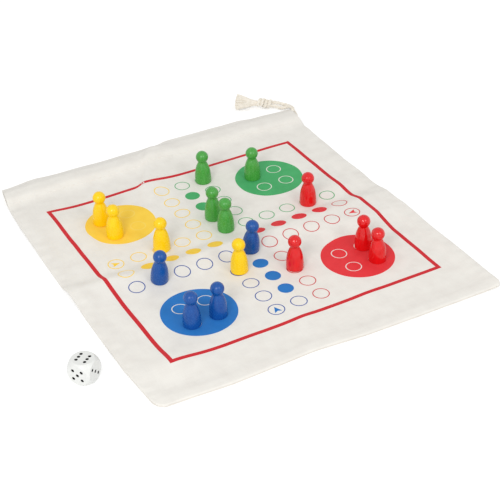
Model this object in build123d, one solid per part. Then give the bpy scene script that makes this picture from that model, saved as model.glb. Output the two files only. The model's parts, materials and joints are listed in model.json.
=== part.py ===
from build123d import *
import math
import os

# Travel race game: the board is printed on a flat cotton drawstring bag, and sixteen turned wooden
# pawns and a die go with it. The bag lies on a table with its mouth towards +Y. Everything is laid out
# round the middle of the bag, and at the end it is moved so that the origin is the centre of the base
# of the box round bag, pawns and die.

# Bag
bag_width = 252.0
bag_length = 286.0
bottom_bow = 1.0            # how far the bottom edge bulges beyond its two corners
corner_radius = 5.0
cloth = 0.5                 # thickness of one ply

# Crease across the bag, in distances from the middle of the bag
crease_rise = 3.9
crease_near = -34.6
crease_top = -12.6
crease_far = 0.8
crease_foot_radius = 12.0
crease_top_radius = 6.0

# Drawstring casing along the mouth
casing_depth = 25.5
casing_slope = 3.0          # length over which the front ply climbs onto the hem
casing_setback_left = 5.0   # how far the casing's end stops short of the side seam
casing_setback_right = 5.0
cord_diameter = 3.0
cord_clearance = 0.3
back_strand_depth = 18.5    # from the mouth's edge to the strand in the back casing
strand_spacing = 7.5
hump_foot = 1.8             # spread of the cloth at each foot of a cord's hump
pull_travel = 8.0           # slack that the drawstring can be pulled before the mouth gathers
pocket_wall = 2.0
turn_room = 0.5

# Seams
seam_inset = 1.5
seam_thread_width = 0.6
seam_thread_height = 0.4
stitch_length = 3.0
stitch_gap = 0.6
stitch_width = 0.5
stitch_proud = 0.25
stitch_inset = 1.2          # from the casing's lower edge
stitch_groove = 0.3         # depth of the groove that keeps the back stitches off the table

# Printed board
board_turn = 0.75           # degrees that the print sits askew on the bag
board_centre_x = 0.7
board_centre_y = -6.7
ink = 0.1
field_pitch = 17.0
field_diameter = 11.5
field_line = 0.6
goal_diameter = 10.9
home_diameter = 51.0
home_centre = 61.2          # from the board's middle, along X and along Y
home_ring_spacing = 18.6
home_ring_diameter = 11.3
home_ring_line = 0.7
dart_length = 6.0
dart_width = 5.2
dart_notch = 1.3
border_half = 100.5         # from the board's middle to the middle of the border's line
border_line = 2.9

# Pawns
pawn_height = 25.6
foot_diameter = 12.0
foot_rounding_height = 0.8
foot_rounding_width = 0.4
belly_diameter = 12.06
belly_height = 4.8
shoulder_diameter = 11.36
shoulder_height = 8.8
head_diameter = 9.2
neck_diameter = 6.6
neck_length = 1.4
neck_groove = 0.15

# Die
die_size = 16.0
die_ball_diameter = 21.3    # the ball that the cube is tumbled to
die_x = -149.4
die_y = -92.5
die_turn = -142.85
pip_diameter = 2.2
pip_depth = 0.6
pip_paint = 0.35            # thickness of the paint in each pip
pip_paint_gap = 0.05
pip_pitch = 3.0

# Knot and tassel
knot_x = 112.9
knot_y = 156.2
knot_turn = 146.0
knot_length = 12.6
knot_end_radius = 3.5
knot_radius = 4.3
knot_lift = 0.1             # clear of the table
strand_apart = 2.6          # between the two strands, seen from above, where they enter the knot
strand_rise = 2.0           # how much higher the back strand enters the knot
strand_sink = 0.6           # how far below the knot's axis the strands enter it
tassel_end_x = 92.7
tassel_end_y = 166.9
tassel_turn = 142.7
tassel_neck_radius = 2.2
tassel_end_width = 17.0
tassel_end_height = 12.4

# Worked out from the sizes above
side_x = bag_width / 2
mouth_y = bag_length / 2
bottom_y = -bag_length / 2
flat_top = 2 * cloth
hem_top = 4 * cloth
casing_y = mouth_y - casing_depth
casing_left = casing_setback_left - side_x
casing_right = side_x - casing_setback_right
bore_radius = cord_diameter / 2 + cord_clearance
hump_radius = bore_radius + cloth
back_bore = (mouth_y - back_strand_depth, cloth + bore_radius)
front_bore = (back_bore[0] + strand_spacing, 3 * cloth + bore_radius)
turn_centre = ((back_bore[0] + front_bore[0]) / 2, (back_bore[1] + front_bore[1]) / 2)
turn_radius = math.dist(back_bore, front_bore) / 2
turn_x = casing_left + pocket_wall + turn_room + cord_diameter / 2 + turn_radius
pocket_end_x = turn_x + pull_travel + turn_room
knot_z = knot_radius + knot_lift
near_slope = math.degrees(math.atan2(crease_rise, crease_top - crease_near))
board_at = Pos(board_centre_x, board_centre_y, 0) * Rot(0, 0, board_turn)
colours = ("blue", "yellow", "green", "red")

# Routes of the two free strands, from the casing's end to the knot, chosen by hand
knot_axis = Vector(1, 0, 0).rotate(Axis.Z, knot_turn)
knot_side = Vector(0, -1, 0).rotate(Axis.Z, knot_turn) * (strand_apart / 2) + Vector(0, 0, strand_rise / 2)
knot_entry = Vector(knot_x, knot_y, knot_z - strand_sink) - knot_axis * (knot_length / 2)
back_strand_route = [
    Vector(casing_right, *back_bore),
    Vector(casing_right + 3.6, *back_bore),
    Vector(126.6, 126.9, 1.8),
    Vector(128.3, 132.2, 1.55),
    Vector(129.7, 138.0, 1.55),
    Vector(130.9, 143.0, 1.55),
    Vector(129.5, 147.0, 2.2),
    Vector(125.2, 149.6, 3.4),
    knot_entry + knot_side - knot_axis * 3.0,
    knot_entry + knot_side,
]
front_strand_route = [
    Vector(casing_right, *front_bore),
    Vector(casing_right + 4.2, *front_bore),
    Vector(127.4, 133.6, 4.9),
    Vector(128.4, 137.4, 5.0),
    Vector(128.3, 141.2, 4.2),
    Vector(126.6, 144.3, 2.5),
    Vector(122.8, 145.7, 1.6),
    knot_entry - knot_side - knot_axis * 3.4,
    knot_entry - knot_side,
]


def cloth_height(y):
    """How far the crease lifts the cloth at a place along the bag."""
    near = (y - crease_near) / (crease_top - crease_near)
    far = (crease_far - y) / (crease_far - crease_top)
    return crease_rise * max(0.0, min(near, far))


def crease_line(lift, y_low, y_high):
    """The line across the bag that a ply's face follows, in the plane of Y and Z."""
    points = [
        (y_low, lift),
        (crease_near, lift),
        (crease_top, lift + crease_rise),
        (crease_far, lift),
        (y_high, lift),
    ]
    return FilletPolyline(*points, radius=[crease_foot_radius, crease_top_radius, crease_foot_radius])


def cloth_band(lift_low, lift_high, x_low, x_high, y_low, y_high):
    """Cloth between two lifts, laid over the crease."""
    lower = crease_line(lift_low, y_low, y_high)
    upper = crease_line(lift_high, y_low, y_high)
    edges = lower + Line(lower @ 1, upper @ 1) + upper + Line(lower @ 0, upper @ 0)
    section = Plane.YZ * make_face(edges)
    return Pos(x_low, 0, 0) * extrude(section, amount=x_high - x_low, dir=(1, 0, 0))


def bag_outline():
    """The bag seen from above: bowed at the bottom, narrower at the casing."""
    bow = ThreePointArc((-side_x, bottom_y), (0, bottom_y - bottom_bow), (side_x, bottom_y))
    corners = [
        (side_x, bottom_y),
        (side_x, casing_y),
        (casing_right, casing_y),
        (casing_right, mouth_y),
        (casing_left, mouth_y),
        (casing_left, casing_y),
        (-side_x, casing_y),
        (-side_x, bottom_y),
    ]
    face = make_face(bow + Polyline(*corners))
    return fillet(face.vertices().group_by(Axis.Y)[0], corner_radius)


def ply(lift_low, lift_high):
    """One ply of the bag, cut to the outline."""
    low_y = bottom_y - 2 * bottom_bow
    band = cloth_band(lift_low, lift_high, -side_x, side_x, low_y, mouth_y)
    return band & extrude(bag_outline(), amount=crease_rise + flat_top + cloth)


def along_casing(section, x_low=casing_left, x_high=casing_right):
    """A section drawn in Y and Z, run along the casing."""
    return Pos(x_low, 0, 0) * extrude(Plane.YZ * section, amount=x_high - x_low, dir=(1, 0, 0))


def hump(bore, base):
    """The cloth round one strand of the drawstring."""
    y, z = bore
    flank = make_face(Polyline(
        (y - hump_radius - hump_foot, base),
        (y - hump_radius * 0.8, z + hump_radius * 0.6),
        (y + hump_radius * 0.8, z + hump_radius * 0.6),
        (y + hump_radius + hump_foot, base),
        close=True))
    return flank + Pos(y, z) * Circle(hump_radius)


def front_casing_section():
    """The front casing from its slope up to its hem, over the humps of both strands."""
    top = front_bore[1] + hump_radius
    back_y, front_y = back_bore[0], front_bore[0]
    return make_face(Polyline(
        (casing_y - casing_slope, flat_top),
        (casing_y + cloth, hem_top),
        (back_y - hump_radius - hump_foot, hem_top),
        (back_y - hump_radius, top - cloth),
        (back_y - hump_radius / 2, top),
        (front_y + hump_radius / 2, top),
        (front_y + hump_radius, top - cloth),
        (front_y + hump_radius + 2 * hump_foot, hem_top),
        (mouth_y, hem_top),
        (mouth_y, flat_top),
        close=True))


def cord_space():
    """The bores of both strands, and the pocket where the cord turns back inside the casing."""
    bores = Pos(*back_bore) * Circle(bore_radius) + Pos(*front_bore) * Circle(bore_radius)
    pocket = SlotCenterToCenter(2 * turn_radius, 2 * bore_radius)
    tilt = math.degrees(math.atan2(front_bore[1] - back_bore[1], front_bore[0] - back_bore[0]))
    pocket = Pos(*turn_centre) * Rot(0, 0, tilt) * pocket
    return (along_casing(bores, turn_x)
            + along_casing(pocket, casing_left + pocket_wall, pocket_end_x))


def seam_channels():
    """The room that the seam threads take between the two plies."""
    return side_seam(-1) + side_seam(1) + bottom_seam()


def back_panel():
    hem = Pos(casing_left, casing_y, 0) * Box(
        casing_right - casing_left, casing_depth, flat_top, align=(Align.MIN, Align.MIN, Align.MIN))
    panel = ply(0, cloth) + hem + along_casing(hump(back_bore, flat_top / 2))
    return panel - cord_space() - seam_channels() - stitch_row(0, stitch_groove)


def front_panel(back):
    panel = ply(cloth, flat_top) + along_casing(front_casing_section())
    return panel - back - cord_space() - seam_channels()


def side_seam(side):
    """The thread that joins the plies along one side, following the crease."""
    middle = side * (side_x - seam_inset)
    return cloth_band(
        cloth - seam_thread_height / 2, cloth + seam_thread_height / 2,
        middle - seam_thread_width / 2, middle + seam_thread_width / 2,
        bottom_y + corner_radius, casing_y)


def bottom_seam():
    """The thread that joins the plies along the bowed bottom edge."""
    reach = side_x - corner_radius - seam_inset
    depth = bottom_y + seam_inset + seam_thread_width
    path = ThreePointArc((-reach, depth), (0, depth - bottom_bow), (reach, depth))
    line = trace(path, line_width=seam_thread_width)
    return Pos(0, 0, cloth - seam_thread_height / 2) * extrude(line, amount=seam_thread_height)


def stitch_row(base, height):
    """One row of stitches along the casing's lower edge."""
    pitch = stitch_length + stitch_gap
    count = int((casing_right - casing_left) / pitch)
    stitch = Box(stitch_length, stitch_width, height, align=(Align.CENTER, Align.CENTER, Align.MIN))
    places = GridLocations(pitch, 1, count, 1)
    middle = Pos((casing_left + casing_right) / 2, casing_y + stitch_inset, base)
    return Part() + [middle * place * stitch for place in places]


def ring(outer, line):
    return Circle(outer / 2) - Circle(outer / 2 - line)


def dart():
    """The notched arrow in a start field, pointing along +Y."""
    tip = dart_length / 2
    return make_face(Polyline(
        (0, tip),
        (-dart_width / 2, -tip),
        (0, dart_notch - tip),
        (dart_width / 2, -tip),
        close=True))


def home_disc():
    """A home of one colour, with four bare rings left in it."""
    disc = Circle(home_diameter / 2)
    bare = ring(home_ring_diameter, home_ring_line)
    for place in GridLocations(home_ring_spacing, home_ring_spacing, 2, 2):
        disc -= place * bare
    return Pos(-home_centre, -home_centre) * disc


def colour_arm():
    """All the printing of one colour: its fields, start, goals and home."""
    fields = [(0, -5), (-1, -5)]
    fields += [(-1, -row) for row in range(1, 5)]
    fields += [(-column, -1) for column in range(2, 6)]
    field = ring(field_diameter, field_line)
    shapes = [Pos(column * field_pitch, row * field_pitch) * field for column, row in fields]
    shapes += [Pos(0, -row * field_pitch) * Circle(goal_diameter / 2) for row in range(1, 5)]
    shapes.append(Pos(-field_pitch, -5 * field_pitch) * dart())
    shapes.append(home_disc())
    return Sketch() + shapes


def border():
    outside = 2 * border_half + border_line
    inside = 2 * border_half - border_line
    return Rectangle(outside, outside) - Rectangle(inside, inside)


def printed(sketch):
    """A flat drawing as ink that lies on the front ply and follows the crease."""
    reach = border_half + 2 * border_line
    skin = cloth_band(
        flat_top, flat_top + ink, -side_x, side_x,
        board_centre_y - reach, board_centre_y + reach)
    return skin & extrude(board_at * sketch, amount=flat_top + ink + crease_rise)


def print_colour(turn, colour):
    arm = Rot(0, 0, -90 * turn) * colour_arm()
    if colour == "red":
        arm += border()
    return printed(arm)


def pawn():
    """A turned pawn: a bell with a slight belly, a short neck and a round head."""
    foot = foot_diameter / 2
    head = head_diameter / 2
    neck = neck_diameter / 2
    head_z = pawn_height - head
    neck_top = head_z - math.sqrt(head ** 2 - neck ** 2)
    neck_base = neck_top - neck_length
    foot_edge = foot - foot_rounding_width
    foot_mid = (foot - foot_rounding_width * 0.3, foot_rounding_height * 0.3)
    shoulder = (shoulder_diameter / 2, shoulder_height)
    neck_mid = (neck - neck_groove, (neck_base + neck_top) / 2)
    belly = ThreePointArc((foot, foot_rounding_height), (belly_diameter / 2, belly_height), shoulder)
    outline = (Line((0, 0), (foot_edge, 0))
               + ThreePointArc((foot_edge, 0), foot_mid, (foot, foot_rounding_height))
               + belly
               + TangentArc(shoulder, (neck, neck_base), tangent=belly % 1)
               + ThreePointArc((neck, neck_base), neck_mid, (neck, neck_top))
               + ThreePointArc((neck, neck_top), (head, head_z), (0, pawn_height))
               + Line((0, pawn_height), (0, 0)))
    return revolve(Plane.XZ * make_face(outline), Axis.Z)


def on_board(x, y):
    """The place on the ink for a pawn that stands at a point of the board."""
    spot = (board_at * Pos(x, y, 0)).position
    lift = Pos(spot.X, spot.Y, flat_top + ink + cloth_height(spot.Y))
    on_near_slope = crease_near < spot.Y < crease_top
    return lift * Rot(near_slope if on_near_slope else 0, 0, 0)


def on_field(column, row, off_x, off_y):
    """A pawn on a field of the board, with how far it stands off the field's middle."""
    return on_board((column - 5) * field_pitch + off_x, (row - 5) * field_pitch + off_y)


def at_home(home_x, home_y, ring_x, ring_y, off_x, off_y):
    """A pawn in a home: which home, which of its rings, and how far off the ring's middle."""
    ring_half = home_ring_spacing / 2
    x = home_x * home_centre + ring_x * ring_half + off_x
    y = home_y * home_centre + ring_y * ring_half + off_y
    return on_board(x, y)


pawn_places = {
    "pawn_green_1": on_field(6, 10, -0.2, -2.0),
    "pawn_green_2": at_home(1, 1, -1, 1, -1.1, -2.4),
    "pawn_green_3": on_field(5, 7, -0.6, -0.1),
    "pawn_green_4": on_field(5, 6, 0.1, -1.1),
    "pawn_yellow_1": at_home(-1, 1, -1, 1, -1.6, 0.0),
    "pawn_yellow_2": at_home(-1, 1, -1, -1, -0.4, -2.3),
    "pawn_yellow_3": on_field(2, 6, 1.2, 0.2),
    "pawn_yellow_4": on_field(4, 3, 0.7, 0.1),
    "pawn_blue_1": on_field(1, 4, -0.4, -0.4),
    "pawn_blue_2": on_field(5, 4, 1.5, -0.5),
    "pawn_blue_3": at_home(-1, -1, -1, -1, -0.7, -0.3),
    "pawn_blue_4": at_home(-1, -1, 1, -1, 0.0, -0.1),
    "pawn_red_1": on_field(9, 6, -0.3, -1.7),
    "pawn_red_2": at_home(1, -1, 1, 1, 0.2, -1.5),
    "pawn_red_3": at_home(1, -1, 1, -1, -0.2, -1.1),
    "pawn_red_4": on_field(6, 2, 0.7, 0.8),
}


def pip_spots(number):
    """Where the pips of a number lie on a face, in steps from its middle."""
    spots = {
        1: [(0, 0)],
        2: [(1, 1), (-1, -1)],
        3: [(1, 1), (0, 0), (-1, -1)],
        4: [(1, 1), (1, -1), (-1, 1), (-1, -1)],
        5: [(1, 1), (1, -1), (0, 0), (-1, 1), (-1, -1)],
        6: [(step, side) for step in (-1, 0, 1) for side in (-1, 1)],
    }
    return spots[number]


def die_faces():
    """Each face's number with the plane that looks out of it, before the die is turned."""
    half = die_size / 2
    return [
        (5, Plane((half, 0, 0), x_dir=(0, 1, 0), z_dir=(1, 0, 0))),
        (2, Plane((-half, 0, 0), x_dir=(0, 1, 0), z_dir=(-1, 0, 0))),
        (3, Plane((0, half, 0), x_dir=(1, 0, 0), z_dir=(0, 1, 0))),
        (4, Plane((0, -half, 0), x_dir=(1, 0, 0), z_dir=(0, -1, 0))),
        (6, Plane((0, 0, half), x_dir=(1, 0, 0), z_dir=(0, 0, 1))),
        (1, Plane((0, 0, -half), x_dir=(1, 0, 0), z_dir=(0, 0, -1))),
    ]


def pips(radius, depth_low, depth_high):
    """Short cylinders under every pip, between two depths below the faces."""
    disc = Pos(0, 0, -depth_high) * Cylinder(
        radius, depth_high - depth_low, align=(Align.CENTER, Align.CENTER, Align.MIN))
    found = []
    for number, plane in die_faces():
        # on the side with three pips the row runs from a top corner to the far bottom one
        slant = -1 if number == 3 else 1
        for step, side in pip_spots(number):
            found.append(plane * Pos(step * pip_pitch, slant * side * pip_pitch, 0) * disc)
    return Part() + found


die_at = Pos(die_x, die_y, die_size / 2) * Rot(0, 0, die_turn)


def die():
    body = Box(die_size, die_size, die_size) & Sphere(die_ball_diameter / 2)
    return die_at * (body - pips(pip_diameter / 2, 0, pip_depth))


def die_pips():
    return die_at * pips(pip_diameter / 2 - pip_paint_gap, pip_depth - pip_paint, pip_depth)


def cord_radii(route):
    """An arc for each corner of a route, as large as the two runs beside it allow."""
    radii = []
    for before, here, after in zip(route, route[1:], route[2:]):
        turn = math.radians((here - before).get_angle(after - here))
        shorter = min((here - before).length, (after - here).length)
        radii.append(0.45 * shorter / math.tan(turn / 2))
    return radii


def cord_tube(path):
    start = Plane(path @ 0, z_dir=path % 0)
    return sweep(start * Circle(cord_diameter / 2), path=path)


def free_strand(name, route):
    radii = cord_radii(route)
    path = FilletPolyline(*route, radius=radii)
    tube = cord_tube(path)
    section = math.pi * (cord_diameter / 2) ** 2
    print(name, "radii", [round(radius, 1) for radius in radii],
          "length", round(path.length, 1), "volume share", round(tube.volume / section / path.length, 4))
    return tube


def drawstring_in_casing():
    """The cord's two straight runs through the casings and its turn in the pocket."""
    centre = Vector(turn_x, *turn_centre)
    back_end = Vector(turn_x, *back_bore)
    front_end = Vector(turn_x, *front_bore)
    path = (Line(Vector(casing_right, *back_bore), back_end)
            + ThreePointArc(back_end, centre - Vector(turn_radius, 0, 0), front_end)
            + Line(front_end, Vector(casing_right, *front_bore)))
    return cord_tube(Wire(path.edges()))


def drawstring_knot():
    """The knot that joins both strands, as a barrel along the knot's axis."""
    half = knot_length / 2
    outline = (Line((0, -half), (knot_end_radius, -half))
               + ThreePointArc((knot_end_radius, -half), (knot_radius, 0), (knot_end_radius, half))
               + Line((knot_end_radius, half), (0, half))
               + Line((0, half), (0, -half)))
    barrel = revolve(Plane.XZ * make_face(outline), Axis.Z)
    return Plane((knot_x, knot_y, knot_z), z_dir=knot_axis) * barrel


def drawstring_tassel():
    """The frayed ends beyond the knot, flaring to a flattened end."""
    neck_at = Vector(knot_x, knot_y, knot_z) + knot_axis * (knot_length / 2)
    end_axis = Vector(1, 0, 0).rotate(Axis.Z, tassel_turn)
    end_side = Vector(0, 1, 0).rotate(Axis.Z, tassel_turn)
    end_z = tassel_end_height / 2 + knot_lift
    neck = Plane(neck_at, x_dir=Vector(0, 1, 0).rotate(Axis.Z, knot_turn), z_dir=knot_axis)
    end = Plane((tassel_end_x, tassel_end_y, end_z), x_dir=end_side, z_dir=end_axis)
    return loft([neck * Circle(tassel_neck_radius),
                 end * Ellipse(tassel_end_width / 2, tassel_end_height / 2)])


def make_nodes():
    nodes = {"back_panel": back_panel()}
    nodes["front_panel"] = front_panel(nodes["back_panel"])
    nodes["side_seam_left"] = side_seam(-1)
    nodes["side_seam_right"] = side_seam(1)
    nodes["bottom_seam"] = bottom_seam()
    nodes["back_casing_stitching"] = stitch_row(stitch_groove - stitch_proud, stitch_proud)
    nodes["front_casing_stitching"] = stitch_row(hem_top, stitch_proud)
    for turn, colour in enumerate(colours):
        nodes["print_" + colour] = print_colour(turn, colour)
    nodes["drawstring_in_casing"] = drawstring_in_casing()
    nodes["drawstring_strand_back"] = free_strand("back strand", back_strand_route)
    nodes["drawstring_strand_front"] = free_strand("front strand", front_strand_route)
    nodes["drawstring_knot"] = drawstring_knot()
    nodes["drawstring_tassel"] = drawstring_tassel()
    turned_pawn = pawn()
    for name, place in pawn_places.items():
        nodes[name] = place * turned_pawn
    nodes["die"] = die()
    nodes["die_pips"] = die_pips()
    return nodes


free_cord = ("drawstring_strand_back", "drawstring_strand_front", "drawstring_knot", "drawstring_tassel")


def main():
    nodes = make_nodes()
    standing = Compound([shape for name, shape in nodes.items() if name not in free_cord])
    box = standing.bounding_box()
    to_origin = Pos(-box.center().X, -box.center().Y, 0)
    print("bag centre from the origin", round(-box.center().X, 3), round(-box.center().Y, 3))
    print("near slope", round(near_slope, 2), "turn radius", round(turn_radius, 2))
    os.makedirs("parts", exist_ok=True)
    for name, shape in nodes.items():
        export_step(to_origin * shape, os.path.join("parts", name + ".step"))


main()
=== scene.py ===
import json
import math
import random

import bpy
import numpy as np
from mathutils import Matrix, Vector
from mathutils.geometry import delaunay_2d_cdt

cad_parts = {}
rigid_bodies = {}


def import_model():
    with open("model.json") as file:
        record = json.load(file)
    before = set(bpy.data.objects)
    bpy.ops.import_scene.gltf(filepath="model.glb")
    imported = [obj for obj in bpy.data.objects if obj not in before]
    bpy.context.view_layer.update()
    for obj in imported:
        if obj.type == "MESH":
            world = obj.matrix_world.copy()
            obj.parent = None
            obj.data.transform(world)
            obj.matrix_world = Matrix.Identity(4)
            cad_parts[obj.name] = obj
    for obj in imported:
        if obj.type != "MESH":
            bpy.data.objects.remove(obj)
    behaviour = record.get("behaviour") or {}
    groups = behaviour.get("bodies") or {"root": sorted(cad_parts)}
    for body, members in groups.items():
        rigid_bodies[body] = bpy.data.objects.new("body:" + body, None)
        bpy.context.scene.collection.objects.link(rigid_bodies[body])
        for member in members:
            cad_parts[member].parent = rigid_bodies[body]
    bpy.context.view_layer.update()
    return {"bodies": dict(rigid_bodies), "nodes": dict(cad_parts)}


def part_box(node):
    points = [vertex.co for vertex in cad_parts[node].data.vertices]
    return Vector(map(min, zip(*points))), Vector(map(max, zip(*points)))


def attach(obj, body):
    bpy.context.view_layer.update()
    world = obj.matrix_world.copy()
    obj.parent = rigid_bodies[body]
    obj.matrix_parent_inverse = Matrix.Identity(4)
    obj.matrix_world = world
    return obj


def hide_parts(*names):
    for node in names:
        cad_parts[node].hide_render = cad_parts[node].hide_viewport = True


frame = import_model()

# The looks of a travel race game: a cotton drawstring bag with the board printed on it, sixteen pawns
# and a die. Lengths are in millimetres and places are measured from the middle of the bag, with the
# mouth towards +Y, until to_frame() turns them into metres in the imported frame.

MM = 0.001
colours = ("blue", "yellow", "green", "red")

# Bag
bag_width = 252.0
half_width = bag_width / 2
mouth_y = 143.0
bottom_y = -144.0
corner_y = -144.3           # of the bottom edge beside its rounded corners
casing_y = 117.5
cloth = 0.45                # thickness of one ply
back_mid = 0.25             # height of the middle of the back ply
front_mid = 0.775
front_top = front_mid + cloth / 2
cell = 1.5                  # spacing of the cloth's mesh
corner_radius_left = 9.0
corner_radius_right = 5.0
flat_low = -125.0           # the front ply is flat from here
flat_high = 110.0           # to here
hem_y = 118.0               # where the hem of the back ply starts
thread_pitch = 0.55         # of the weave
welt_rise = 0.85            # of the cloth over the seam allowance at a side

# The crease across the bag where it was folded: its height at the left of the middle, and the Y where
# it starts, tops and ends there
crease_rise = 3.9
crease_near = -35.2
crease_top = -12.6
crease_far = 0.8

# Board
board_turn = math.radians(0.75)
board_centre = (0.7, -6.7)
field_pitch = 17.0
field_diameter = 11.5
field_line = 0.6
goal_diameter = 10.9
home_diameter = 51.0
home_centre = 61.2
home_ring_spacing = 18.6
home_ring_diameter = 11.3
home_ring_line = 0.7
border_half = 100.5
border_line = 2.9
ink_proud = 0.07
ink_sunk = 0.03
dart_outline = [(0, 3.0), (-2.6, -3.0), (0, -1.7), (2.6, -3.0)]

# Stitching
stitch_length = 2.9
seam_gap = 0.5              # between the stitches of the seams
seam_thread = 0.16          # radius of their thread
seam_inset = 2.6            # from the edges of the bag
bottom_seam_y = -141.0
seam_height = 0.95          # between the plies
casing_gap = 0.7            # between the stitches of the casing
front_casing_thread = 0.2
back_casing_thread = 0.14
back_row_height = 0.2

# Drawstring
cord_diameter = 3.0
casing_left = -121.0
casing_right = 121.0
turn_x = -115.0             # where the cord turns back inside the casing
back_bore = (124.5, 2.3)
front_bore = (132.0, 3.3)
knot_at = np.array((112.9, 156.2, 4.4))
knot_turn = math.radians(146.0)
knot_axis = np.array((math.cos(knot_turn), math.sin(knot_turn), 0.0))
knot_side = np.array((math.sin(knot_turn), -math.cos(knot_turn), 0.0))
knot_length = 12.6
knot_radius = 4.3
strand_apart = 2.6
strand_rise = 2.0
strand_sink = 0.6
strand_offset = knot_side * (strand_apart / 2) + np.array((0.0, 0.0, strand_rise / 2))
knot_entry = knot_at - knot_axis * (knot_length / 2) - np.array((0.0, 0.0, strand_sink))
tassel_end = np.array((92.7, 166.9, 6.3))
tassel_turn = math.radians(142.7)
tassel_axis = np.array((math.cos(tassel_turn), math.sin(tassel_turn), 0.0))
tassel_neck_radius = 2.2
tassel_end_width = 17.0
tassel_end_height = 12.4

# Camera
camera_azimuth = math.radians(-27.280)
camera_elevation = math.radians(34.147)
camera_roll = math.radians(-1.966)
camera_lens = 95.238
camera_distance = 916.64
camera_target = (2.73, -22.66, 1.1)

back_low, back_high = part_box("back_panel")
bag_middle = np.array(((back_low.x + back_high.x) / 2 / MM, back_high.y / MM - mouth_y, 0.0))


def to_frame(points):
    """Points measured from the middle of the bag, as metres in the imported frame."""
    return (np.asarray(points, float).reshape(-1, 3) + bag_middle) * MM


def make_camera():
    sin_a, cos_a = math.sin(camera_azimuth), math.cos(camera_azimuth)
    sin_e, cos_e = math.sin(camera_elevation), math.cos(camera_elevation)
    across = Vector((cos_a, sin_a, 0))
    back = Vector((sin_a * cos_e, -cos_a * cos_e, sin_e))
    up = back.cross(across)
    right = across * math.cos(camera_roll) + up * math.sin(camera_roll)
    top = up * math.cos(camera_roll) - across * math.sin(camera_roll)
    data = bpy.data.cameras.new("camera")
    data.lens = camera_lens
    data.sensor_width = 36.0
    data.clip_start = 0.05
    data.clip_end = 50.0
    camera = bpy.data.objects.new("camera", data)
    place = Vector(to_frame(camera_target)[0]) + back * camera_distance * MM
    turn = Matrix((right, top, back)).transposed().to_4x4()
    camera.matrix_world = Matrix.Translation(place) @ turn
    bpy.context.collection.objects.link(camera)
    bpy.context.scene.camera = camera


make_camera()
bpy.context.scene.view_settings.view_transform = "Standard"


# Materials

def linear(red, green, blue):
    """A colour given as it looks on a screen, from 0 to 255, as the shader wants it."""
    def one(value):
        share = value / 255
        return share / 12.92 if share <= 0.04045 else ((share + 0.055) / 1.055) ** 2.4
    return (one(red), one(green), one(blue), 1.0)


class Nodes:
    """The nodes of one material, with short ways to add and join them."""

    def __init__(self, name):
        self.material = bpy.data.materials.new(name)
        self.material.use_nodes = True
        self.tree = self.material.node_tree
        self.shader = self.tree.nodes["Principled BSDF"]
        self.place = self.add("ShaderNodeTexCoord").outputs["Object"]

    def add(self, kind, **settings):
        node = self.tree.nodes.new(kind)
        for name, value in settings.items():
            setattr(node, name, value)
        return node

    def join(self, output, socket):
        self.tree.links.new(output, socket)

    def stretched(self, x, y, z):
        mapping = self.add("ShaderNodeMapping")
        mapping.inputs["Scale"].default_value = (x, y, z)
        self.join(self.place, mapping.inputs["Vector"])
        return mapping.outputs["Vector"]

    def noise(self, size, detail=3.0, place=None):
        """Noise whose lumps are about size millimetres across."""
        node = self.add("ShaderNodeTexNoise")
        node.inputs["Scale"].default_value = 1 / (size * MM)
        node.inputs["Detail"].default_value = detail
        self.join(place or self.place, node.inputs["Vector"])
        return node.outputs["Fac"]

    def wave(self, pitch, direction, distortion=1.2):
        """Soft parallel threads, pitch millimetres apart."""
        node = self.add("ShaderNodeTexWave", wave_type="BANDS", bands_direction=direction)
        node.inputs["Scale"].default_value = 2 * math.pi / 20 / (pitch * MM)
        node.inputs["Distortion"].default_value = distortion
        node.inputs["Detail"].default_value = 1.0
        self.join(self.place, node.inputs["Vector"])
        return node.outputs["Fac"]

    def math(self, operation, first, second):
        node = self.add("ShaderNodeMath", operation=operation)
        for socket, value in zip(node.inputs, (first, second)):
            if isinstance(value, (int, float)):
                socket.default_value = value
            else:
                self.join(value, socket)
        return node.outputs["Value"]

    def between(self, amount, low, high, first, second):
        """A value that runs from first to second as amount runs from low to high."""
        node = self.add("ShaderNodeMapRange")
        for socket, value in zip(("From Min", "From Max", "To Min", "To Max"), (low, high, first, second)):
            node.inputs[socket].default_value = value
        self.join(amount, node.inputs["Value"])
        return node.outputs["Result"]

    def blend(self, amount, low, high, first, second):
        """A colour that runs from first to second as amount runs from low to high."""
        ramp = self.add("ShaderNodeValToRGB")
        ramp.color_ramp.elements[0].position = low
        ramp.color_ramp.elements[0].color = first
        ramp.color_ramp.elements[1].position = high
        ramp.color_ramp.elements[1].color = second
        self.join(amount, ramp.inputs["Fac"])
        return ramp.outputs["Color"]

    def bump(self, height, depth, strength=1.0):
        node = self.add("ShaderNodeBump")
        node.inputs["Strength"].default_value = strength
        node.inputs["Distance"].default_value = depth * MM
        self.join(height, node.inputs["Height"])
        self.join(node.outputs["Normal"], self.shader.inputs["Normal"])


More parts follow.
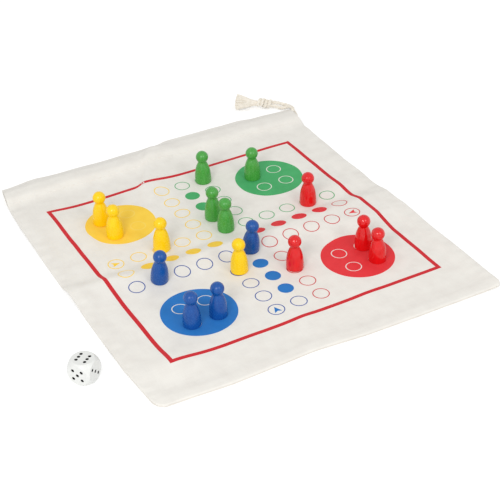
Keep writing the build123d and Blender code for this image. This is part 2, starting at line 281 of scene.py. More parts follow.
def cotton(name, light, dark):
    """Plain woven calico with slubs and a little unevenness."""
    nodes = Nodes(name)
    warp = nodes.wave(thread_pitch, "X")
    weft = nodes.wave(thread_pitch, "Y")
    weave = nodes.math("MULTIPLY", warp, weft)
    slub_x = nodes.noise(1.0, 2.0, nodes.stretched(0.12, 1.6, 1.0))
    slub_y = nodes.noise(1.0, 2.0, nodes.stretched(1.6, 0.12, 1.0))
    slubs = nodes.math("ADD", slub_x, slub_y)
    patches = nodes.noise(9.0, 4.0)
    tone = nodes.math("MULTIPLY_ADD", slubs, 0.35)
    nodes.join(patches, tone.node.inputs[2])
    nodes.join(nodes.blend(tone, 0.55, 1.05, dark, light), nodes.shader.inputs["Base Color"])
    nodes.join(nodes.between(slubs, 0.6, 1.4, 0.86, 0.96), nodes.shader.inputs["Roughness"])
    relief = nodes.math("MULTIPLY_ADD", slubs, 0.8)
    nodes.join(weave, relief.node.inputs[2])
    nodes.bump(relief, 0.05, 0.55)
    nodes.shader.inputs["Sheen Weight"].default_value = 0.08
    nodes.shader.inputs["Specular IOR Level"].default_value = 0.2
    return nodes.material


def ink(name, light, dark):
    """Screen-print ink that has sunk into the weave."""
    nodes = Nodes(name)
    weave = nodes.math("MULTIPLY", nodes.wave(thread_pitch, "X"), nodes.wave(thread_pitch, "Y"))
    speckle = nodes.noise(0.7, 3.0)
    patches = nodes.noise(7.0, 3.0)
    tone = nodes.math("MULTIPLY_ADD", speckle, 0.5)
    nodes.join(patches, tone.node.inputs[2])
    nodes.join(nodes.blend(tone, 0.5, 1.0, dark, light), nodes.shader.inputs["Base Color"])
    nodes.join(nodes.between(speckle, 0.3, 0.7, 0.62, 0.78), nodes.shader.inputs["Roughness"])
    nodes.bump(weave, 0.04, 0.5)
    nodes.shader.inputs["Specular IOR Level"].default_value = 0.25
    return nodes.material


def yarn(name, light, dark, size=0.35):
    """Soft spun cotton, for the cord and the sewing thread."""
    nodes = Nodes(name)
    fibres = nodes.noise(size, 4.0)
    patches = nodes.noise(2.5, 2.0)
    tone = nodes.math("MULTIPLY_ADD", fibres, 0.7)
    nodes.join(patches, tone.node.inputs[2])
    nodes.join(nodes.blend(tone, 0.55, 1.1, dark, light), nodes.shader.inputs["Base Color"])
    nodes.join(nodes.between(fibres, 0.3, 0.7, 0.85, 0.97), nodes.shader.inputs["Roughness"])
    nodes.bump(fibres, 0.12, 0.7)
    nodes.shader.inputs["Sheen Weight"].default_value = 0.15
    nodes.shader.inputs["Specular IOR Level"].default_value = 0.2
    return nodes.material


def lacquer(name, light, dark, roughness=0.3, specular=0.5):
    """Paint on wood: a little grain shows through it."""
    nodes = Nodes(name)
    grain = nodes.noise(1.6, 3.0, nodes.stretched(1.0, 1.0, 0.14))
    skin = nodes.noise(1.1, 2.0)
    nodes.join(nodes.blend(grain, 0.3, 0.7, dark, light), nodes.shader.inputs["Base Color"])
    shine = nodes.between(skin, 0.3, 0.7, roughness - 0.04, roughness + 0.05)
    nodes.join(shine, nodes.shader.inputs["Roughness"])
    nodes.bump(skin, 0.02, 0.4)
    nodes.shader.inputs["Specular IOR Level"].default_value = specular
    return nodes.material


cotton_front = cotton("cotton_front", linear(237, 234, 227), linear(230, 226, 219))
cotton_back = cotton("cotton_back", linear(235, 231, 224), linear(227, 222, 214))
thread = yarn("sewing_thread", linear(240, 237, 231), linear(226, 221, 213), 0.2)
cord_cotton = yarn("cord_cotton", linear(246, 240, 229), linear(231, 223, 208))
inks = {
    "blue": ink("ink_blue", linear(42, 122, 198), linear(36, 114, 188)),
    "yellow": ink("ink_yellow", linear(253, 214, 78), linear(249, 206, 66)),
    "green": ink("ink_green", linear(76, 174, 108), linear(68, 166, 100)),
    "red": ink("ink_red", linear(231, 58, 64), linear(222, 50, 56)),
}
# the same inks where they look deeper or paler: thin lines, the border and the rings in yellow's home
second_inks = {
    "blue": ink("ink_blue_deep", linear(30, 78, 162), linear(26, 70, 152)),
    "yellow": ink("ink_yellow_pale", linear(253, 221, 106), linear(249, 213, 94)),
    "red": ink("ink_red_deep", linear(208, 44, 52), linear(200, 38, 46)),
}
lacquers = {
    "blue": lacquer("lacquer_blue", linear(20, 85, 162), linear(12, 72, 148), 0.26, 0.4),
    "yellow": lacquer("lacquer_yellow", linear(254, 212, 8), linear(250, 202, 4), 0.26, 0.4),
    "green": lacquer("lacquer_green", linear(76, 164, 68), linear(62, 150, 54), 0.26),
    "red": lacquer("lacquer_red", linear(226, 17, 21), linear(212, 11, 15), 0.15),
}
die_white = lacquer("die_white", linear(229, 230, 227), linear(224, 225, 222), 0.34, 0.35)
pip_black = lacquer("pip_black", linear(9, 9, 10), linear(6, 6, 7), 0.8, 0.1)


# Meshes

def add_piece(name, points, faces, material, body, sharp=40.0):
    """A mesh piece from points in millimetres, smooth except where faces meet sharply."""
    mesh = bpy.data.meshes.new(name)
    mesh.from_pydata(to_frame(points).tolist(), [], faces)
    mesh.materials.append(material)
    mesh.polygons.foreach_set("use_smooth", [True] * len(mesh.polygons))
    mesh.set_sharp_from_angle(angle=math.radians(sharp))
    mesh.validate()
    piece = bpy.data.objects.new(name, mesh)
    bpy.context.collection.objects.link(piece)
    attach(piece, body)
    return piece


def eased(amount):
    """From 0 to 1, slow at both ends."""
    amount = np.clip(amount, 0.0, 1.0)
    return amount * amount * (3 - 2 * amount)


def catmull(points, step):
    """A smooth line through points, with its own points at most step apart."""
    points = np.asarray(points, float)
    ends = np.vstack((2 * points[0] - points[1], points, 2 * points[-1] - points[-2]))
    line = []
    for before, here, there, after in zip(ends, ends[1:], ends[2:], ends[3:]):
        span = np.linalg.norm(there - here)
        count = max(1, math.ceil(span / step))
        lean_here = (there - before) * span / (span + np.linalg.norm(here - before))
        lean_there = (after - here) * span / (span + np.linalg.norm(after - there))
        for t in np.arange(count) / count:
            line.append(
                (2 * t ** 3 - 3 * t ** 2 + 1) * here + (t ** 3 - 2 * t ** 2 + t) * lean_here
                + (3 * t ** 2 - 2 * t ** 3) * there + (t ** 3 - t ** 2) * lean_there)
    line.append(points[-1])
    return np.array(line)


def tubes(runs, sides):
    """Points and faces of closed tubes, each along its own line with its own radii."""
    all_points, faces = [], []
    for line, radii in runs:
        line = np.asarray(line, float)
        ways = np.gradient(line, axis=0)
        ways /= np.linalg.norm(ways, axis=1)[:, None]
        normal = np.cross(ways[0], (0.0, 0.0, 1.0))
        if np.linalg.norm(normal) < 0.1:
            normal = np.cross(ways[0], (0.0, 1.0, 0.0))
        start = len(all_points)
        angles = np.arange(sides) * 2 * math.pi / sides
        for place, way, radius in zip(line, ways, radii):
            normal = normal - way * np.dot(normal, way)
            normal /= np.linalg.norm(normal)
            across = np.cross(way, normal)
            for angle in angles:
                all_points.append(place + radius * (math.cos(angle) * normal + math.sin(angle) * across))
        for ring in range(len(line) - 1):
            low = start + ring * sides
            for side in range(sides):
                after = (side + 1) % sides
                faces.append((low + side, low + after, low + sides + after, low + sides + side))
        last = start + (len(line) - 1) * sides
        faces.append(tuple(start + side for side in reversed(range(sides))))
        faces.append(tuple(last + side for side in range(sides)))
    return all_points, faces


def frames_along(line):
    """A steady pair of directions square to a line at each of its points."""
    ways = np.gradient(line, axis=0)
    ways /= np.linalg.norm(ways, axis=1)[:, None]
    normal = np.cross(ways[0], (0.0, 0.0, 1.0))
    normals, acrosses = [], []
    for way in ways:
        normal = normal - way * np.dot(normal, way)
        normal /= np.linalg.norm(normal)
        normals.append(normal)
        acrosses.append(np.cross(way, normal))
    return np.array(normals), np.array(acrosses)


def evenly(line, step):
    """The same line with its points step apart."""
    line = np.asarray(line, float)
    lengths = np.concatenate(([0.0], np.cumsum(np.linalg.norm(np.diff(line, axis=0), axis=1))))
    at = np.linspace(0, lengths[-1], max(2, math.ceil(lengths[-1] / step) + 1))
    return np.stack([np.interp(at, lengths, line[:, axis]) for axis in range(3)], axis=1)


def twisted(line, diameter, start_turn=0.0, strands=3, pitch=9.0, step=0.7):
    """The strands of a twisted cord along a line."""
    line = evenly(line, step)
    normals, acrosses = frames_along(line)
    strand_radius = 0.255 * diameter
    spread = diameter / 2 - strand_radius
    along = np.arange(len(line)) * np.linalg.norm(line[1] - line[0])
    runs = []
    for strand in range(strands):
        turn = start_turn + 2 * math.pi * (along / pitch + strand / strands)
        offset = np.cos(turn)[:, None] * normals + np.sin(turn)[:, None] * acrosses
        runs.append((line + spread * offset, np.full(len(line), strand_radius)))
    return runs


# Free strands of the drawstring, from the casing's end to the knot, by the same points as their solids

back_route = [
    (casing_right, *back_bore),
    (casing_right + 3.6, *back_bore),
    (126.6, 126.9, 1.8),
    (128.3, 132.2, 1.55),
    (129.7, 138.0, 1.55),
    (130.9, 143.0, 1.55),
    (129.5, 147.0, 2.2),
    (125.2, 149.6, 3.4),
    tuple(knot_entry + strand_offset - knot_axis * 3.0),
    tuple(knot_entry + strand_offset),
]
front_route = [
    (casing_right, *front_bore),
    (casing_right + 4.2, *front_bore),
    (127.4, 133.6, 4.9),
    (128.4, 137.4, 5.0),
    (128.3, 141.2, 4.2),
    (126.6, 144.3, 2.5),
    (122.8, 145.7, 1.6),
    tuple(knot_entry - strand_offset - knot_axis * 3.4),
    tuple(knot_entry - strand_offset),
]


def route_line(name, route):
    """The points of the smooth line that a free strand follows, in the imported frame."""
    curve = bpy.data.curves.new(name, "CURVE")
    curve.dimensions = "3D"
    spline = curve.splines.new("NURBS")
    spline.points.add(len(route) - 1)
    for point, place in zip(spline.points, to_frame(route)):
        point.co = (*place, 1.0)
    spline.order_u = 3
    spline.use_endpoint_u = True
    spline.resolution_u = 12
    holder = bpy.data.objects.new(name, curve)
    bpy.context.collection.objects.link(holder)
    bpy.context.view_layer.update()
    mesh = bpy.data.meshes.new_from_object(holder)
    line = np.array([tuple(vertex.co) for vertex in mesh.vertices])
    bpy.data.objects.remove(holder)
    bpy.data.meshes.remove(mesh)
    return line


def free_strand(name, route):
    line = route_line(name + "_line", route)
    local = line / MM - bag_middle
    points, faces = tubes(twisted(local, cord_diameter), 8)
    piece = add_piece(name, points, faces, cord_cotton, "drawstring")
    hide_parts(name)
    return piece, line


strand_back, back_line = free_strand("drawstring_strand_back", back_route)
strand_front, front_line = free_strand("drawstring_strand_front", front_route)
# the pieces above take the nodes' names, so they are told apart from them
strand_back.name = "free_strand_back"
strand_front.name = "free_strand_front"


def make_knot():
    """An overhand knot of both strands: their core and the turns drawn tight round it."""
    up = np.array((0.0, 0.0, 1.0))
    runs = []
    for side in (-1, 1):
        reach = np.linspace(-1, 1, 12)[:, None]
        pulled_in = eased((reach + 1) * 0.9)
        apart = side * strand_offset * (1 - 0.5 * pulled_in) - up * strand_sink * (1 - pulled_in)
        core = knot_at + knot_axis * reach * (knot_length / 2 + 0.3) + apart
        runs += twisted(core, cord_diameter * 0.9, side)
    turns, wrap_pitch = 1.5, 6.0
    wrap_radius = knot_radius - cord_diameter / 2
    for start in (0.0, 1.0):
        t = np.linspace(0, 1, 60)
        angle = 2 * math.pi * turns * t + 0.9
        shift = (t - 0.5) * turns * wrap_pitch + (start - 0.5) * cord_diameter * 0.95
        tuck = eased(np.minimum(t, 1 - t) / 0.12)
        radius = wrap_radius * (0.45 + 0.55 * tuck) * (1 - 0.06 * (2 * t - 1) ** 2)
        wrap = (knot_at + np.outer(shift, knot_axis)
                + np.outer(radius * np.cos(angle), knot_side)
                + np.outer(radius * np.sin(angle), up))
        runs += twisted(wrap, cord_diameter * 1.02, start)
    points, faces = tubes(runs, 8)
    knot = add_piece("knot", points, faces, cord_cotton, "drawstring")
    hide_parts("drawstring_knot")
    return knot


def make_tassel():
    """The opened yarns beyond the knot, flaring to a flattened, bluntly cut end."""
    rng = random.Random(11)
    up = np.array((0.0, 0.0, 1.0))
    end_side = np.array((math.sin(tassel_turn), -math.cos(tassel_turn), 0.0))
    neck = knot_at + knot_axis * (knot_length / 2 - 0.8)
    reach = np.linalg.norm(tassel_end - neck)
    yarn_radius = 0.62
    count = 120
    runs = []
    for index in range(count):
        share = math.sqrt((index + 0.5) / count)
        angle = index * math.pi * (3 - math.sqrt(5))
        across, rise = share * math.cos(angle), share * math.sin(angle)
        start = neck + (tassel_neck_radius - 0.3) * (across * knot_side + rise * up)
        end = (tassel_end + (tassel_end_width / 2 - yarn_radius) * across * end_side
               + (tassel_end_height / 2 - yarn_radius) * rise * up
               + tassel_axis * rng.uniform(-0.9, 0.3))
        t = np.linspace(0, 1, 9)[:, None]
        line = ((2 * t ** 3 - 3 * t ** 2 + 1) * start + (t ** 3 - 2 * t ** 2 + t) * knot_axis * reach
                + (3 * t ** 2 - 2 * t ** 3) * end + (t ** 3 - t ** 2) * tassel_axis * reach * 0.6)
        wobble = 0.35 * np.sin(t * math.pi) * np.sin(t * rng.uniform(4, 8) + rng.uniform(0, 6))
        line = line + wobble * (rng.uniform(-1, 1) * end_side + rng.uniform(-0.6, 0.6) * up)
        radii = yarn_radius * (0.42 + 0.58 * np.sqrt(t[:, 0]))
        radii[-1] *= 0.8
        runs.append((line, radii))
    points, faces = tubes(runs, 7)
    tassel = add_piece("tassel", points, faces, cord_cotton, "drawstring")
    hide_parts("drawstring_tassel")
    return tassel


knot = make_knot()
tassel = make_tassel()


# The lie of the cloth

pawn_spots = []
for body in frame["bodies"]:
    if body.startswith("pawn"):
        low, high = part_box(body)
        middle = ((low + high) / 2) / MM
        pawn_spots.append((middle.x - bag_middle[0], middle.y - bag_middle[1]))


def hinge(distance, reach):
    """Nothing before a corner and the distance after it, rounded over reach on both sides."""
    rounded = (distance + reach) ** 2 / (4 * reach)
    return np.where(distance < -reach, 0.0, np.where(distance > reach, distance, rounded))


def crease(x, y):
    """The ridge of the crease. It is lower towards both sides and broader at the right."""
    left = eased((-74 - x) / 26)
    right = eased((x - 12) / 88)
    rise = crease_rise - 0.9 * left - 0.3 * right - 1.4 * eased((x - 106) / 18)
    near = crease_near - 1.5 * left - 16.5 * right
    near_top = crease_top + 4.9 * left - 19.0 * right
    far_top = crease_top + 4.9 * left + 3.6 * right
    far = crease_far + 0.8 * left + 1.6 * right
    near_slope = rise / (near_top - near)
    far_slope = rise / (far - far_top)
    return (near_slope * (hinge(y - near, 2.4) - hinge(y - near_top, 1.9))
            - far_slope * (hinge(y - far_top, 1.9) - hinge(y - far, 2.6)))


def fold(x, y, start, end, height, left, right, fade):
    """A soft fold from start to end, with its own reach to each side, that fades at its ends."""
    run_x, run_y = end[0] - start[0], end[1] - start[1]
    length = math.hypot(run_x, run_y)
    run_x, run_y = run_x / length, run_y / length
    along = (x - start[0]) * run_x + (y - start[1]) * run_y
    off = (y - start[1]) * run_x - (x - start[0]) * run_y
    side = np.exp(-(off / np.where(off > 0, left, right)) ** 2)
    return height * side * eased(along / fade[0] + 1) * eased((length - along) / fade[1] + 1)


def mound(x, y, at, height, across, along):
    """A low mound."""
    return height * np.exp(-((x - at[0]) / across) ** 2 - ((y - at[1]) / along) ** 2)


swell_seed = random.Random(5)
swells = [(swell_seed.uniform(26, 68), swell_seed.uniform(0, math.pi), swell_seed.uniform(0, 6))
          for _ in range(9)]


def swell(x, y):
    """The slight unevenness of cloth that has been folded and smoothed out by hand."""
    total = np.zeros_like(x)
    for length, way, phase in swells:
        total = total + np.sin(2 * math.pi * (x * math.cos(way) + y * math.sin(way)) / length + phase)
    return np.maximum(0.0, 0.09 * (total + 2.2))


# Each fold's start, end, height, reach to its left and right, and fade at its start and end
cloth_folds = [
    ((-25, 92), (-1, 134), 2.7, 4.0, 16, (26, 12)),
    ((16, 147), (82, 147), 1.5, 8, 8, (7, 14)),
    ((128, -50), (128, -140), 1.2, 12, 12, (16, 10)),
    ((-96, 45), (-40, 62), 0.5, 5, 12, (18, 18)),
]
# Each mound's middle, height, and reach in X and Y
cloth_mounds = [
    ((-97, 146), 1.2, 15, 9),
    ((-108, 80), 2.4, 20, 30),
    ((-98, -107), 2.7, 20, 13),
    ((-5, -112), 0.7, 9, 26),
    ((46, -112), 0.6, 11, 24),
    ((104, 18), 1.0, 16, 8),
]
pawn_clearance = 7.5        # the cloth is flat as far as this from a pawn's middle
pawn_fade = 9.0             # and rises over this distance beyond it


def waves(x, y):
    """How far the cloth lies above the table apart from the crease."""
    height = swell(x, y) * (1 - 0.7 * eased((-80 - y) / 25))
    for one in cloth_folds:
        height = height + fold(x, y, *one)
    for one in cloth_mounds:
        height = height + mound(x, y, *one)
    clear = np.ones_like(x)
    for spot_x, spot_y in pawn_spots:
        distance = np.hypot(x - spot_x, y - spot_y)
        clear = clear * eased((distance - pawn_clearance) / pawn_fade)
    return height * clear


def lift(x, y):
    return crease(x, y) + waves(x, y)


def casing_gate(y):
    """Nothing where the casing holds the drawstring, and all of it elsewhere."""
    return 1 - eased((y - 115) / 5) * eased((139.5 - y) / 4)


def left_edge(y):
    side = np.interp(y, (bottom_y, -122, -100, -60, -20, 0, 40, 80, 110, 122, 144),
                     (-123.6, -125.0, -126.5, -126.6, -126.3, -126.9, -126.5, -125.9, -124.6, -123.1,
                      -119.5))
    return side + corner_inset(y, corner_radius_left)


def right_edge(y):
    side = np.interp(y, (bottom_y, -100, -60, -40, -18, 0, 12, 30, 50, 90, 118, 126, 144),
                     (126.2, 126.4, 125.8, 126.1, 124.9, 124.7, 123.9, 124.7, 123.5, 124.2, 124.9, 124.4,
                      126.3))
    return side - corner_inset(y, corner_radius_right)


def corner_inset(y, radius):
    """How far a rounded bottom corner stands in from the side."""
    short = np.clip(radius - (y - corner_y), 0, radius)
    return radius - np.sqrt(radius ** 2 - short ** 2)


def bottom_shift(x):
    """How far the bottom edge lies from bottom_y."""
    return np.interp(x, (-126, -100, -80, -55, -20, 18, 60, 80, 126),
                     (1.6, 0.6, -0.2, 0.7, 2.3, -0.3, -0.8, -0.6, -0.8))


def mouth_shift(x):
    """How far the mouth's edge lies from mouth_y."""
    short = 1.5 * eased((-95 - x) / 20) + 1.6 * eased((x - 78) / 14)
    return 0.25 * np.sin(x / 13.0 + 1.0) + 0.3 * np.sin(x / 31.0) - short


def seam_pucker(x, y, edge_distance):
    """The small ripples that the stitching draws into the cloth beside the side seams."""
    ripple = np.sin(y / 1.55 + 2.2 * np.sin(y / 21.0) + x * 0.02) + 0.7 * np.sin(y / 2.9 + 1.0)
    return 0.16 * ripple * eased((11 - edge_distance) / 9) * eased(edge_distance / 1.5)


def welt(edge_distance):
    """The seam allowance inside, which raises the cloth beside a side seam."""
    return welt_rise * eased((15 - edge_distance) / 9)


def outline_grid(section):
    """Where each row and column of a ply lies, from its section, drawn in Y and height."""
    row_y, row_z = section[:, 0][:, None], section[:, 1][:, None]
    middle_x = np.linspace(-half_width, half_width, columns)[None, :]
    near = eased((-104 - row_y) / 22)
    far = eased((row_y - 97) / 12)
    y = row_y + near * bottom_shift(middle_x) + far * mouth_shift(middle_x)
    low, high = left_edge(row_y), right_edge(row_y)
    share = (middle_x + half_width) / bag_width
    x = low + (high - low) * share
    return x, y, row_z + np.zeros_like(x), low, high


def with_lips(x, y, z, low, high, way):
    """Columns added at both sides, where the ply's edge is turned in. way is -1 to turn it down."""
    # each added column's distance in from the edge, and from the ply's height
    lip = ((1.7, 0.50), (0.8, 0.52), (0.28, 0.46), (0.05, 0.28), (0.12, 0.1), (0.5, 0.02))
    size = 1 - 0.85 * eased((y[:, :1] - 112) / 6)       # the lip is nearly gone at the casing
    sides = []
    for sign, edge, column in ((1, low, 0), (-1, high, -1)):
        edge_y, edge_z = y[:, column][:, None], z[:, column][:, None]
        sides.append([(edge + sign * inset * size, edge_y, edge_z + way * drop * size)
                      for inset, drop in lip])
    left, right = sides[0], sides[1][::-1]
    join = [np.hstack([part[axis] for part in left] + [array[:, 1:-1]] + [part[axis] for part in right])
            for axis, array in enumerate((x, y, z))]
    return np.stack(join, axis=2)


def ply_solid(name, grid, material):
    """A closed piece of cloth around its middle surface."""
    along_x = np.gradient(grid, axis=1)
    along_y = np.gradient(grid, axis=0)
    normal = np.cross(along_x, along_y)
    normal /= np.linalg.norm(normal, axis=2)[:, :, None]
    upper = grid + normal * cloth / 2
    lower = grid - normal * cloth / 2
    rows, columns = grid.shape[:2]
    points = np.concatenate((upper.reshape(-1, 3), lower.reshape(-1, 3)))
    index = np.arange(rows * columns).reshape(rows, columns)
    under = index + rows * columns
    quads = [np.stack((index[:-1, :-1], index[:-1, 1:], index[1:, 1:], index[1:, :-1]), -1).reshape(-1, 4),
             np.stack((under[:-1, :-1], under[1:, :-1], under[1:, 1:], under[:-1, 1:]), -1).reshape(-1, 4)]
    loop = np.concatenate((index[0, :], index[1:, -1], index[-1, -2::-1], index[-2:0:-1, 0]))
    after = np.roll(loop, -1)
    shift = rows * columns
    quads.append(np.stack((loop, loop + shift, after + shift, after), -1))
    return add_piece(name, points, np.concatenate(quads).tolist(), material, "bag", 75.0)


columns = round(bag_width / cell) + 1

# The front ply's section: the seam allowance turned in at the bottom, round the bottom edge, flat across
# the board, over the drawstring's casing, round the mouth and back inside as the hem.
front_bottom = [(-139.5, 1.2), (-142.2, 1.22), (-143.1, 1.26), (-143.55, 1.5), (-143.15, 1.8),
                (-142.0, 1.93), (-139.8, 1.93), (-136.5, 1.8), (-133.5, 1.35), (-129.5, 0.92),
                (flat_low, front_mid)]
front_casing = [(flat_high, front_mid), (114.0, 1.15), (117.5, 2.1), (120.6, 3.6), (122.8, 4.7),
                (125.0, 5.12), (128.4, 5.15), (131.6, 5.15), (134.4, 4.55), (137.2, 3.5),
                (139.8, 2.5), (141.6, 1.95), (142.6, 1.72), (143.0, 1.48), (142.4, 1.2),
                (139.0, 1.22), (133.0, 1.27), (130.3, 1.5), (128.6, 2.7), (127.0, 4.1),
                (124.6, 4.72), (121.6, 4.25), (119.6, 2.6), (118.4, 1.6)]
back_bottom = [(-139.5, 0.72), (-142.4, 0.73), (-143.35, 0.7), (-143.65, 0.5), (-143.3, 0.28),
               (-142.4, back_mid), (bottom_seam_y, back_mid)]
back_casing = [(hem_y, back_mid), (139.0, back_mid), (142.2, back_mid), (142.8, 0.5), (142.2, 0.75),
               (138.0, 0.78), (131.5, 0.78), (129.2, 1.1), (127.6, 2.6), (126.2, 3.9),
               (124.4, 4.24), (122.4, 3.8), (120.6, 2.2), (119.0, 1.0)]


def ply_section(bottom, casing, low, high):
    """A ply's whole section, with even cells across the flat between its two ends."""
    flat_y = np.linspace(low, high, round((high - low) / cell) + 1)[1:-1]
    flat = np.stack((flat_y, np.full_like(flat_y, bottom[-1][1])), axis=1)
    return np.vstack((catmull(bottom, 0.8), flat, catmull(casing, 0.9)))


def after_fold(section):
    """Which rows of a section lie past the fold at the mouth, as a column of 0 and 1."""
    turn = int(np.argmax(section[:, 0]))
    return (np.arange(len(section)) > turn).astype(float)[:, None]


def make_front_ply():
    section = ply_section(front_bottom, front_casing, flat_low, flat_high)
    x, y, z, low, high = outline_grid(section)
    inside = after_fold(section)
    gate = 1 - inside * (1 - casing_gate(y))
    z = z + crease(x, y) + waves(x, y) * gate
    edge = np.minimum(x - low, high - x)
    field = eased((112 - y) / 8) * eased((y + 141.3) / 14)
    z = z + (welt(edge) + seam_pucker(x, y, edge)) * field
    return ply_solid("front_ply", with_lips(x, y, z, low, high, -1), cotton_front)


def make_back_ply():
    section = ply_section(back_bottom, back_casing, bottom_seam_y, hem_y)
    x, y, z, low, high = outline_grid(section)
    z = z + crease(x, y) + waves(x, y) * casing_gate(y)
    return ply_solid("back_ply", with_lips(x, y, z, low, high, 1), cotton_back)


back_ply = make_back_ply()
front_ply = make_front_ply()
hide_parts("back_panel")
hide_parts("front_panel")


# Printing

def on_cloth(points, proud):
    """Points of the board, in its own frame, laid on the front ply."""
    points = np.asarray(points, float)
    cos_t, sin_t = math.cos(board_turn), math.sin(board_turn)
    x = points[:, 0] * cos_t - points[:, 1] * sin_t + board_centre[0]
    y = points[:, 0] * sin_t + points[:, 1] * cos_t + board_centre[1]
    return np.stack((x, y, front_top + proud + lift(x, y)), axis=1)


class Print:
    """All the printing of one colour, gathered as thin closed shapes that lie on the cloth.

    A shape's tone is 0 for the colour's own ink and 1 for its second one.
    """

    def __init__(self):
        self.points, self.faces, self.tones = [], [], []

    def add(self, flat_points, top_faces, rims, tone=0):
        """A shape from its points in the board's frame, its upper faces and its rims."""
        start = len(self.points)
        count = len(flat_points)
        self.points += on_cloth(flat_points, ink_proud).tolist()
        self.points += on_cloth(flat_points, -ink_sunk).tolist()
        faces = [tuple(start + point for point in face) for face in top_faces]
        faces += [tuple(start + count + point for point in reversed(face)) for face in top_faces]
        for rim in rims:
            for here, there in zip(rim, rim[1:] + rim[:1]):
                faces.append((start + here, start + count + here, start + count + there, start + there))
        self.faces += faces
        self.tones += [tone] * len(faces)

    def band(self, outer, inner, tone=0):
        """A closed line between two loops with as many points each."""
        count = len(outer)
        faces = []
        for here in range(count):
            there = (here + 1) % count
            faces.append((here, there, count + there, count + here))
        inner_rim = [count + here for here in reversed(range(count))]
        self.add(outer + inner, faces, [list(range(count)), inner_rim], tone)

    def patch(self, outline, holes=(), spacing=1.9, tone=0):
        """A filled shape with holes in it, in cells small enough to follow the cloth."""
        loops = [outline] + [hole[::-1] for hole in holes]
        points = [point for loop in loops for point in loop]
        edges, rims, start = [], [], 0
        for loop in loops:
            rim = list(range(start, start + len(loop)))
            rims.append(rim)
            edges += list(zip(rim, rim[1:] + rim[:1]))
            start += len(loop)
        low, high = np.min(outline, axis=0), np.max(outline, axis=0)
        for x in np.arange(low[0], high[0], spacing):
            for y in np.arange(low[1], high[1], spacing):
                if inside((x, y), outline, spacing * 0.45) and not any(
                        near_or_in((x, y), hole, spacing * 0.45) for hole in holes):
                    points.append((x, y))
        placed, _, triangles, *_ = delaunay_2d_cdt([Vector(p) for p in points], edges, [], 0, 1e-6)
        kept = []
        for triangle in triangles:
            centre = np.mean([placed[corner] for corner in triangle], axis=0)
            if inside(centre, outline, 0) and not any(inside(centre, hole, 0) for hole in holes):
                kept.append(tuple(triangle))
        self.add([tuple(point) for point in placed], kept, rims, tone)

    def make(self, name, materials):
        piece = add_piece(name, self.points, self.faces, materials[0], "bag", 30.0)
        for extra in materials[1:]:
            piece.data.materials.append(extra)
        piece.data.polygons.foreach_set("material_index", self.tones)
        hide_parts(name.replace("ink", "print"))
        return piece


def edge_distance(point, loop):
    """How far a point is from the nearest edge of a loop."""
    loop = np.asarray(loop, float)
    after = np.roll(loop, -1, axis=0)
    run = after - loop
    share = np.clip(((point - loop) * run).sum(1) / (run ** 2).sum(1), 0, 1)
    return float(np.linalg.norm(loop + share[:, None] * run - point, axis=1).min())


def inside(point, loop, margin):
    """Whether a point is inside a loop and further than margin from its edge."""
    loop = np.asarray(loop, float)
    after = np.roll(loop, -1, axis=0)
    crosses = (loop[:, 1] > point[1]) != (after[:, 1] > point[1])
    reach = np.where(crosses, (point[1] - loop[:, 1]) / np.where(crosses, after[:, 1] - loop[:, 1], 1), 0)
    hits = crosses & (loop[:, 0] + reach * (after[:, 0] - loop[:, 0]) > point[0])
    return bool(hits.sum() % 2) and (margin == 0 or edge_distance(point, loop) > margin)


def near_or_in(point, loop, margin):
    return inside(point, loop, 0) or edge_distance(point, loop) < margin


def circle(centre, diameter, count):
    return [(centre[0] + diameter / 2 * math.cos(2 * math.pi * step / count),
             centre[1] + diameter / 2 * math.sin(2 * math.pi * step / count)) for step in range(count)]


def turned(points, quarter_turns):
    """Points turned clockwise about the board's middle."""
    for _ in range(quarter_turns):
        points = [(y, -x) for x, y in points]
    return points


def print_colour(turn, colour):
    """The fields, start, goals and home of one colour."""
    drawing = Print()
    line_tone = 1 if colour in ("blue", "red") else 0
    fields = [(0, -5), (-1, -5)]
    fields += [(-1, -row) for row in range(1, 5)]
    fields += [(-column, -1) for column in range(2, 6)]
    for column, row in fields:
        middle = (column * field_pitch, row * field_pitch)
        outer = circle(middle, field_diameter, 48)
        inner = circle(middle, field_diameter - 2 * field_line, 48)
        drawing.band(turned(outer, turn), turned(inner, turn), tone=line_tone)
    for row in range(1, 5):
        drawing.patch(turned(circle((0, -row * field_pitch), goal_diameter, 40), turn))
    start = (-field_pitch, -5 * field_pitch)
    drawing.patch(turned([(start[0] + x, start[1] + y) for x, y in dart_outline], turn), spacing=1.3)
    half = home_ring_spacing / 2
    spots = [(-home_centre + x, -home_centre + y) for x in (-half, half) for y in (-half, half)]
    holes = [turned(circle(spot, home_ring_diameter, 48), turn) for spot in spots]
    islands = [turned(circle(spot, home_ring_diameter - 2 * home_ring_line, 48), turn) for spot in spots]
    drawing.patch(turned(circle((-home_centre, -home_centre), home_diameter, 110), turn), holes)
    for hole, island in zip(holes, islands):
        drawing.patch(island)
        if colour == "yellow":
            drawing.band(hole, island, tone=1)
    if colour == "red":
        drawing.band(*border_loops(), tone=1)
    materials = [shade for shade in (inks[colour], second_inks.get(colour)) if shade]
    return drawing.make("ink_" + colour, materials)


def border_loops():
    """The outer and inner edge of the border's line, with points close enough to follow the cloth."""
    steps = np.arange(0, 1, 1 / 132)
    loops = []
    for half in (border_half + border_line / 2, border_half - border_line / 2):
        side = [(half * (2 * share - 1), -half) for share in steps]
        loop = []
        for quarter in (0, 3, 2, 1):
            loop += turned(side, quarter)
        loops.append(loop)
    return loops


prints = [print_colour(turn, colour) for turn, colour in enumerate(colours)]


# Stitching

